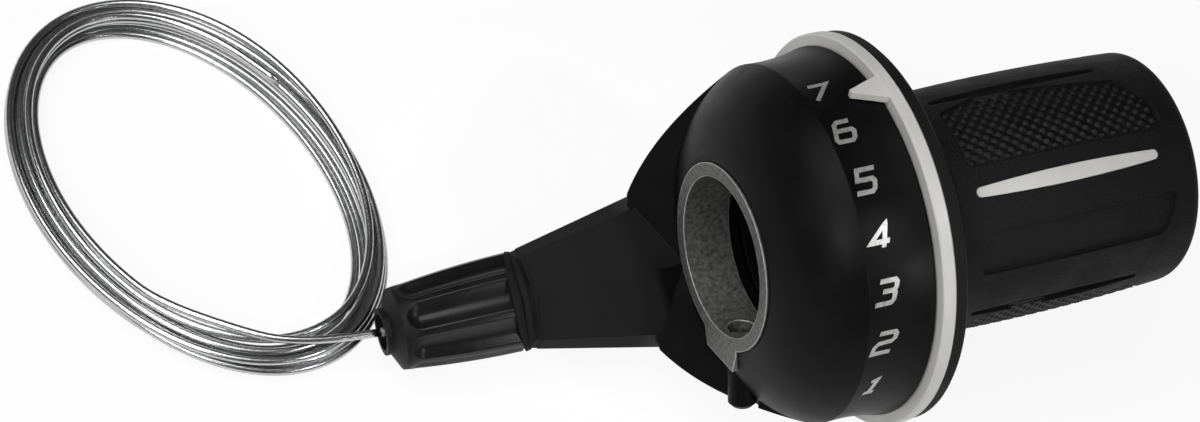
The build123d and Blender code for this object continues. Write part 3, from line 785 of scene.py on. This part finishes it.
@dataclass
class GearCable:
    """Free length of the gear cable: a short lead out of the adjuster and a loose coil on the floor."""

    diameter: float = 1.2
    length_m: float = 1.58
    nose: Point = (-40.599, 11.766, -22.664)
    lead: tuple[Point, ...] = ((-6.5, 0.6, -0.3), (-12.4, 2.0, -0.5), (-16.8, 4.0, -0.7))
    coil_centre: Pair = (-56.2, 42.75)
    half_long: float = 30.5
    half_short: float = 20.9
    coil_turn: float = 107.0
    start_angle: float = 155.0
    first_turn: float = 0.1
    turns: float = 9.66
    points_per_turn: int = 24
    floor_z: float = -28.2
    strands: int = 12
    points_per_strand: int = 2
    groove_depth: float = 0.035
    lay_length: float = 14.0
    order: int = 3
    smoothness: int = 8
    stations: tuple[Station, ...] = (
        Station(0.00, -0.40, 5.00, 0), Station(0.12, -1.00, 4.65, 0), Station(0.30, -1.90, 2.70, 0),
        Station(0.47, -2.30, 0.75, 0), Station(0.75, -2.00, 0.62, 0), Station(3.75, 1.90, 0.62, 0),
        Station(4.05, 2.00, 1.88, 1), Station(6.15, -0.72, 1.88, 1), Station(6.50, -0.72, 3.14, 2),
        Station(8.42, 1.85, 3.14, 2), Station(8.58, 1.50, 4.40, 2), Station(8.93, -1.70, 4.40, 2),
        Station(9.02, -1.90, 3.60, 2), Station(9.12, -1.00, 3.45, 2), Station(9.22, -0.60, 4.30, 2),
        Station(9.66, -1.10, 4.40, 2),
    )
    ease: float = 0.25
    sways: tuple[Pair, ...] = ((0.25, 0.20), (-0.45, 0.25), (0.50, -0.25))
    sway_turns: tuple[Pair, ...] = ((0.5, 0.0), (1.2, 1.0), (-0.6, 2.0))
    fan_low: float = 0.98
    fan_more: float = 0.15

    def between(self, turn: np.ndarray) -> np.ndarray:
        """Values between the stations: a straight run with a share of an eased one.

        Args:
            turn: Turns from the coil's start.

        Returns:
            Rows of lane, rise and layer, with a column for each turn.
        """
        known = np.array([astuple(station) for station in self.stations]).T
        count = np.interp(turn, known[0], np.arange(len(self.stations)))
        before = np.minimum(count.astype(int), len(self.stations) - 2)
        share = (1.0 - self.ease) * (count - before) + self.ease * smooth_step(count - before)
        return (known[:, before] + (known[:, before + 1] - known[:, before]) * share)[1:]

    def coil_points(self) -> np.ndarray:
        """Points of the coil's turns: an ellipse whose half axes grow by the lane and by the layer's sway.

        The lane fans out with the square of the angle's sine. A sway has one wave and two waves a turn.

        Returns:
            Points in mm.
        """
        turn = np.arange(self.first_turn, self.turns, 1.0 / self.points_per_turn)
        angle = np.radians(self.start_angle) - 2.0 * np.pi * turn
        lane, rise, layer = self.between(turn)
        out = lane * (self.fan_low + self.fan_more * np.sin(angle) ** 2)
        for number, (sway, late) in enumerate(zip(self.sways, self.sway_turns)):
            wave = sway[0] * np.sin(angle + late[0]) + sway[1] * np.sin(2.0 * angle + late[1])
            out = out + np.clip(1.0 - np.abs(layer - number), 0.0, 1.0) * wave
        tilt = np.radians(self.coil_turn)
        long_axis = np.array([np.cos(tilt), np.sin(tilt)])
        short_axis = np.array([-np.sin(tilt), np.cos(tilt)])
        plan = np.outer((self.half_long + out) * np.cos(angle), long_axis)
        plan = plan + np.outer((self.half_short + out) * np.sin(angle), short_axis) + self.coil_centre
        return np.column_stack([plan, self.floor_z + rise])

    def route(self) -> np.ndarray:
        """Control points from the nose through the lead to the end of the coil, in mm."""
        nose = np.array(self.nose)
        return np.vstack([nose, nose + np.array(self.lead), self.coil_points()])

    def spline_line(self) -> np.ndarray:
        """Read one smooth spline that has the route as its control points.

        Returns:
            Points in mm.
        """
        route = self.route()
        data = bpy.data.curves.new("cable_line", "CURVE")
        data.dimensions = "3D"
        spline = data.splines.new("NURBS")
        spline.points.add(len(route) - 1)
        spline.points.foreach_set("co", np.column_stack([route * MM, np.ones(len(route))]).ravel())
        spline.order_u = self.order
        spline.use_endpoint_u = True
        spline.resolution_u = self.smoothness
        guide = bpy.data.objects.new("cable_line", data)
        bpy.context.scene.collection.objects.link(guide)
        bpy.context.view_layer.update()
        line = bpy.data.meshes.new_from_object(guide)
        points = np.empty(len(line.vertices) * 3)
        line.vertices.foreach_get("co", points)
        bpy.data.objects.remove(guide)
        bpy.data.curves.remove(data)
        bpy.data.meshes.remove(line)
        return points.reshape(-1, 3) / MM

    def build(self) -> None:
        """Twisted rope: a ring of strands carried along the line and turned once each lay length.

        The radius falls from the strands' tops to the grooves by a cosine that counts the strands.
        """
        line = self.spline_line()
        along = length_along(line)
        ahead = unit(np.gradient(line, axis=0))
        side = unit(np.cross(ahead, (0.0, 0.0, 1.0)))
        above = np.cross(side, ahead)
        ring = self.strands * self.points_per_strand
        share = np.arange(ring) / ring
        turn = 2.0 * np.pi * (share[None, :] + along[:, None] / self.lay_length)
        groove = 0.5 - 0.5 * np.cos(2.0 * np.pi * self.strands * share)
        radius = self.diameter / 2.0 - self.groove_depth * groove
        across = np.cos(turn)[..., None] * side[:, None, :] + np.sin(turn)[..., None] * above[:, None, :]
        points = line[:, None, :] + radius[None, :, None] * across
        sides = grid_faces(len(line), ring, wrap=True)[:, ::-1]
        last = (len(line) - 1) * ring
        caps = [list(range(ring)), list(range(last, last + ring))[::-1]]
        piece = mesh_piece("gear_cable", points, sides.tolist() + caps)
        self.map_strands(piece, share, along)
        place_piece(piece, Body.BASE, WIRE_ROPE.material())
        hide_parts("cable_lead", "cable_coil")
        LOG.info("gear cable is %.1f mm long", along[-1])

    def map_strands(self, piece: Piece, share: np.ndarray, along: np.ndarray) -> None:
        """UV map: the first value counts strands round the rope, the second is the length along it in mm.

        Args:
            piece: The rope.
            share: Share of the ring at each of its points.
            along: Length along the rope at each ring.
        """
        mesh = piece.data
        corner = np.empty(len(mesh.loops), dtype=np.int32)
        mesh.loops.foreach_get("vertex_index", corner)
        strand = share[corner % len(share)] * self.strands
        values = np.column_stack([strand, along[corner // len(share)]])
        mesh.uv_layers.new(name="strands").data.foreach_set("uv", values.ravel())


@dataclass(frozen=True)
class BossAxis:
    """Axis of the boss and the adjuster, from which both take their surfaces."""

    root: Point = (0.0, 9.43, -17.441)
    axis: Point = (-0.990214, 0.056979, -0.127397)
    across: Point = (-0.010574, 0.879599, 0.475598)

    def turned(self, along: np.ndarray, radius: np.ndarray, angle: np.ndarray) -> np.ndarray:
        """Points about the axis: the root, the way along it and the radius at an angle from its first side.

        Args:
            along: Distance from the root in mm.
            radius: Distance from the axis in mm.
            angle: Angle in radians.

        Returns:
            Points in mm, with one more axis of length 3.
        """
        first = np.array(self.across)
        second = np.cross(self.axis, first)
        outward = np.cos(angle)[..., None] * first + np.sin(angle)[..., None] * second
        return np.array(self.root) + along[..., None] * np.array(self.axis) + radius[..., None] * outward


@dataclass
class BossHood:
    """Hood at the boss's tip: its facets run out into a round edge that covers the adjuster's end."""

    boss: BossAxis = BossAxis()
    half_height: float = 6.8
    half_depth: float = 6.35
    corners: tuple[Pair, ...] = ((0.0, -1.0), (0.84, -0.5), (1.0, 0.1), (0.8, 0.75), (0.35, 1.0))
    least_facing: float = 0.05
    start: float = 20.4
    tip: float = 21.3
    floor_gap: float = 0.06
    edge: float = 21.45
    reach: float = 2.3
    reach_power: float = 0.8
    low_radius: float = 6.8
    high_radius: float = 7.15
    rise: float = 0.2
    lip: float = 0.05
    wall: float = 0.09
    core: float = 5.4
    columns: int = 192
    sharp_angle: float = 50.0

    def facet_radius(self, angle: np.ndarray) -> np.ndarray:
        """Radius of the boss's section: an edge's distance by the cosine to its normal, least of all edges.

        Args:
            angle: Angle in radians.

        Returns:
            Radius in mm.
        """
        half = np.array(self.corners) * (self.half_height, self.half_depth)
        section = np.vstack([half, half[:0:-1] * (-1.0, 1.0)])
        normal = edge_normals(section)
        distance = (normal * section).sum(axis=1)
        facing = np.column_stack([np.cos(angle), np.sin(angle)]) @ normal.T
        radius = distance / np.maximum(facing, self.least_facing)
        return np.where(facing > self.least_facing, radius, np.inf).min(axis=1)

    def build(self) -> None:
        """Closed band: facets at its start, round at its edge, which reaches out most over the ridge."""
        angle = np.linspace(0.0, 2.0 * np.pi, self.columns, endpoint=False)
        facets = self.facet_radius(angle)
        ridge = np.clip(-np.sin(angle), 0.0, 1.0)
        edge = self.edge + self.reach * ridge ** self.reach_power
        outer = self.low_radius + (self.high_radius - self.low_radius) * smooth_step(ridge / self.rise)
        inner = outer - self.wall
        core, start, tip = (np.full(self.columns, level) for level in (self.core, self.start, self.tip))
        floor = tip + self.floor_gap
        rows = [
            (start, facets), (tip, (facets + outer) / 2.0), ((edge + floor) / 2.0, outer),
            (edge - self.lip, outer), (edge, inner), (floor, inner), (floor, core), (start, core),
        ]
        points = np.stack([self.boss.turned(along, radius, angle) for along, radius in rows])
        piece = ring_piece("boss_hood", points, self.sharp_angle)
        place_piece(piece, Body.BASE, HOUSING_BLACK.material())


@dataclass
class DialHousing:
    """Moulded housing with the printed numbers of its dial and the hood on its boss."""

    band: tuple[Pair, ...] = ((9.0, 24.9), (14.5, 25.0), (18.4, 25.7))
    gears: int = 7
    first_angle: float = 69.2
    gear_step: float = 17.4
    number_x: float = 10.2
    width: float = 2.7
    height: float = 3.1
    lean: float = 0.26
    stroke: float = 0.66
    mitre_limit: float = 0.4
    print_lift: float = 0.03
    print_sink: float = 0.06
    spacing: float = 0.2

    def strokes(self) -> dict[int, list[list[Pair]]]:
        """Centre lines of the numbers, in shares of their width and height.

        Returns:
            The strokes of each number.
        """
        top = [(0.05, 1.0), (0.88, 1.0), (1.0, 0.88)]
        bowl = [(0.88, 0.54), (1.0, 0.42), (1.0, 0.12), (0.88, 0.0)]
        return {
            7: [[(0.0, 1.0), (1.0, 1.0), (0.28, 0.0)]],
            6: [[(0.8, 1.0), (0.14, 1.0), (0.0, 0.86), (0.0, 0.12), (0.12, 0.0), *bowl[::-1], (0.0, 0.54)]],
            5: [[(1.0, 1.0), (0.05, 1.0), (0.05, 0.55), *bowl, (0.0, 0.0)]],
            4: [[(0.76, 0.0), (0.76, 1.0), (0.0, 0.26), (1.05, 0.26)]],
            3: [[*top, (1.0, 0.65), (0.88, 0.54), (0.3, 0.54)], [*bowl, (0.0, 0.0)]],
            2: [[*top, (1.0, 0.68), (0.86, 0.54), (0.18, 0.5), (0.0, 0.34), (0.0, 0.0), (1.0, 0.0)]],
            1: [[(0.26, 0.62), (0.56, 0.76), (0.56, -0.18)], [(0.3, -0.18), (0.84, -0.18)]],
        }

    def ribbon(self, corners: np.ndarray) -> tuple[np.ndarray, np.ndarray]:
        """Both edges of a stroke of even width: each point moves along the mitre of its two runs.

        Args:
            corners: Centre line in mm, x along the bar and y up the number.

        Returns:
            Left and right edge.
        """
        reach = length_along(corners)
        extra = np.arange(0.0, reach[-1], self.spacing)
        place = np.unique(np.concatenate([reach, extra]).round(6))
        line = np.column_stack([np.interp(place, reach, corners[:, axis]) for axis in range(2)])
        run = unit(np.diff(line, axis=0))
        square = np.column_stack([-run[:, 1], run[:, 0]])
        before = np.vstack([square[:1], square])
        after = np.vstack([square, square[-1:]])
        mitre = before + after
        mitre = mitre / np.maximum((mitre * after).sum(axis=1, keepdims=True), self.mitre_limit)
        return line + mitre * self.stroke / 2.0, line - mitre * self.stroke / 2.0

    def on_band(self, flat: np.ndarray, middle: float, lift: float) -> np.ndarray:
        """Wrap flat points onto the dial: x leans with y, y becomes an angle, the radius follows the band.

        Args:
            flat: Points in mm.
            middle: Angle of the number in degrees.
            lift: Height over the band in mm.

        Returns:
            Points in mm.
        """
        above = flat[..., 1] - self.height / 2.0
        x = self.number_x + flat[..., 0] + self.lean * above
        radius = circle_height(self.band, x, hollow=True)
        return around_bar(x, radius + lift, np.radians(middle) - above / radius)

    def numbers(self) -> None:
        """All the numbers as one print: a four-cornered profile carried along each stroke's centre line."""
        points: list[np.ndarray] = []
        faces: list[list[int]] = []
        count = 0
        for number, strokes in self.strokes().items():
            middle = self.first_angle + self.gear_step * (self.gears - number)
            for stroke in strokes:
                left, right = self.ribbon(np.array(stroke) * (self.width, self.height))
                top, root = self.print_lift, -self.print_sink
                profile = [(left, top), (right, top), (right, root), (left, root)]
                rings = np.stack([self.on_band(edge, middle, lift) for edge, lift in profile], axis=1)
                corner = np.arange(len(profile))
                end = count + (len(rings) - 1) * len(corner)
                faces += (grid_faces(len(rings), len(corner), wrap=True) + count).tolist()
                faces += [(count + corner[::-1]).tolist(), (end + corner).tolist()]
                points.append(rings.reshape(-1, 3))
                count = end + len(corner)
        piece = mesh_piece("dial_numbers", np.vstack(points), faces, smooth=False)
        place_piece(piece, Body.BASE, DIAL_SILVER.material())

    def build(self) -> None:
        """Dress the housing and its inner pieces, print the dial and add the hood."""
        dress(HOUSING_BLACK.material(), "housing")
        dress(INSERT_CAST.material(), "clamp_insert")
        dress(SCREW_BLACK.material(), "clamp_screw")
        dress(SPRING_BRIGHT.material(), "detent_spring", "retaining_ring")
        dress(BARREL_BLACK.material(), "cable_guide")
        self.numbers()
        BossHood().build()


@dataclass
class TwistGrip:
    """Barrel, ring, rubber sleeve with its knurled panels, and the light inlays."""

    sleeve: tuple[Pair, ...] = ((28.5, 16.75), (44.6, 17.05), (64.6, 16.4))
    panel_count: int = 3
    panel_angle: float = 82.0
    panel_depth: float = 0.35
    outline: tuple[Pair, ...] = (
        (31.0, -5.7), (31.0, 3.8), (39.0, 6.1), (58.7, 3.4), (62.0, -1.8), (62.0, -5.7)
    )
    bump_half_x: float = 0.94
    bump_half_y: float = 0.86
    bump_height: float = 0.38
    border: float = 0.45
    border_start: float = 0.3
    border_sink: float = 0.15
    root_depth: float = 0.4
    spacing: float = 0.17

    def inside(self, x: np.ndarray, y: np.ndarray) -> np.ndarray:
        """Distance in from the panel's outline: the least distance to any of its edges.

        Args:
            x: Distance along the bar in mm.
            y: Distance across the panel in mm.

        Returns:
            Distance in mm, below 0 outside.
        """
        corners = np.array(self.outline)
        away = np.stack([x, y], axis=-1)[..., None, :] - corners
        return (away * edge_normals(corners)).sum(axis=-1).min(axis=-1)

    def knurl_radius(self, x: np.ndarray, y: np.ndarray) -> np.ndarray:
        """Radius of a panel: the sleeve's, less the panel's depth, plus bumps that end at its border.

        A bump is the root of the positive part of a cosine along the bar times a cosine across it.

        Args:
            x: Distance along the bar in mm.
            y: Distance across the panel in mm.

        Returns:
            Radius in mm.
        """
        wave = np.cos(np.pi * x / self.bump_half_x) * np.cos(np.pi * y / self.bump_half_y)
        bump = np.sqrt(np.clip(wave, 0.0, 1.0)) * self.bump_height
        kept = smooth_step(self.inside(x, y) / self.border - self.border_start)
        base = circle_height(self.sleeve, x) - self.panel_depth
        return base + bump * kept - self.border_sink * (1.0 - kept)

    def knurl_panel(self, panel: int) -> None:
        """Closed panel of staggered bumps: a grid of points whose rim runs to one point below it.

        Args:
            panel: Number of the panel, from 0.
        """
        corners = np.array(self.outline)
        low, high = corners.min(axis=0), corners.max(axis=0)
        steps = [np.arange(low[axis], high[axis], self.spacing) for axis in range(2)]
        x, y = np.meshgrid(*steps, indexing="ij")
        height = np.sqrt(self.knurl_radius(x, y) ** 2 - y ** 2)
        angle = np.radians(self.panel_angle + 360.0 / self.panel_count * panel)
        outward = [0.0, np.cos(angle), np.sin(angle)]
        across = [0.0, np.sin(angle), -np.cos(angle)]
        axes = np.array([[1.0, 0.0, 0.0], outward, across])
        rows, columns = x.shape
        number = np.arange(rows * columns).reshape(rows, columns)
        rim = np.concatenate([number[0, :-1], number[:-1, -1], number[-1, :0:-1], number[:0:-1, 0]])
        fan = np.column_stack([rim, np.roll(rim, -1), np.full(len(rim), rows * columns)])
        middle = (low + high) / 2.0
        apex = [middle[0], height.min() - self.root_depth, middle[1]]
        points = np.vstack([np.stack([x, height, y], axis=-1).reshape(-1, 3), apex]) @ axes
        faces = grid_faces(rows, columns)[:, ::-1].tolist() + fan[:, ::-1].tolist()
        piece = mesh_piece(f"knurl_panel_{panel + 1}", points, faces)
        place_piece(piece, Body.GRIP, KNURL_RUBBER.material())

    def build(self) -> None:
        """Dress the barrel, ring, rubber and inlays, and make the knurled panels."""
        dress(BARREL_BLACK.material(), "twist_barrel")
        dress(HEAD_CAST.material(), "cable_head")
        dress(RING_GREY.material(), "indicator_ring", "spindle_inlay_1", "spindle_inlay_2", "spindle_inlay_3")
        dress(SLEEVE_RUBBER.material(), "rubber_grip")
        for panel in range(self.panel_count):
            self.knurl_panel(panel)


@dataclass
class BarrelAdjuster:
    """Fluted adjuster, its friction ring and the cable inside it."""

    boss: BossAxis = BossAxis()
    side: tuple[Pair, ...] = ((21.95, 7.0), (30.275, 6.65), (39.0, 5.7))
    stem: tuple[Pair, ...] = (
        (10.3, 1.0), (10.3, 3.0), (22.2, 3.0), (22.2, 3.96), (21.55, 3.96), (21.55, 6.6)
    )
    nose: tuple[Pair, ...] = ((40.2, 3.3), (41.0, 3.3), (41.0, 2.55), (34.5, 2.55), (34.5, 1.0))
    flutes: int = 8
    flute_turn: float = 10.8
    flute_half: float = 18.5
    flute_depth: float = 1.0
    flute_end: float = 38.2
    flute_round: float = 1.9
    flute_cells: int = 18
    rib_cells: int = 6
    spacing: float = 0.2
    sharp_angle: float = 50.0

    def turns(self) -> np.ndarray:
        """Angles of the columns from the first flute's middle: even across a flute, then across a rib.

        Returns:
            Angles in degrees.
        """
        pitch = 360.0 / self.flutes
        flute = np.linspace(-self.flute_half, self.flute_half, self.flute_cells, endpoint=False)
        rib = np.linspace(self.flute_half, pitch - self.flute_half, self.rib_cells, endpoint=False)
        return (np.concatenate([flute, rib])[None, :] + pitch * np.arange(self.flutes)[:, None]).ravel()

    def surface(self) -> np.ndarray:
        """Closed profile turned about the axis, with hollow flutes in its side.

        A flute's depth falls with the square of the distance from its middle line,
        and with the square of the distance past the start of its rounded end.

        Returns:
            Points in mm, rows along the profile and columns about the axis.
        """
        along = np.arange(self.side[0][0], self.side[-1][0] + self.spacing / 2.0, self.spacing)
        outer = np.column_stack([along, circle_height(self.side, along)])
        profile = np.vstack([self.stem, outer, self.nose])
        angle = self.turns()
        pitch = 360.0 / self.flutes
        off = (angle + pitch / 2.0) % pitch - pitch / 2.0
        past = np.maximum(profile[:, 0] - self.flute_end + self.flute_round, 0.0) / self.flute_round
        hollow = 1.0 - (off[None, :] / self.flute_half) ** 2 - past[:, None] ** 2
        fluted = np.zeros(len(profile), dtype=bool)
        fluted[len(self.stem) - 1:len(self.stem) + len(outer)] = True
        depth = np.where(fluted[:, None], self.flute_depth * np.clip(hollow, 0.0, 1.0), 0.0)
        turn = np.radians(angle + self.flute_turn)
        return self.boss.turned(profile[:, :1], profile[:, 1:] - depth, turn)

    def barrel(self) -> None:
        """Fluted barrel in place of the part's plainer one, with its corners kept sharp."""
        piece = ring_piece("fluted_adjuster", self.surface(), self.sharp_angle)
        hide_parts("adjuster_barrel")
        place_piece(piece, Body.ADJUSTER, ADJUSTER_BLACK.material())

    def build(self) -> None:
        """Make the fluted barrel and dress what runs through it."""
        self.barrel()
        dress(SLEEVE_RUBBER.material(), "friction_ring")
        dress(SPRING_BRIGHT.material(), "inner_cable")


def main() -> None:
    """Build the camera and the cable first, then the rest of the shifter and the studio."""
    logging.basicConfig(level=logging.INFO, format="%(message)s")
    bpy.context.scene.view_settings.view_transform = "Standard"
    studio = Studio()
    studio.camera()
    GearCable().build()
    DialHousing().build()
    TwistGrip().build()
    BarrelAdjuster().build()
    studio.floor()
    studio.lights()


if __name__ == "__main__":
    main()
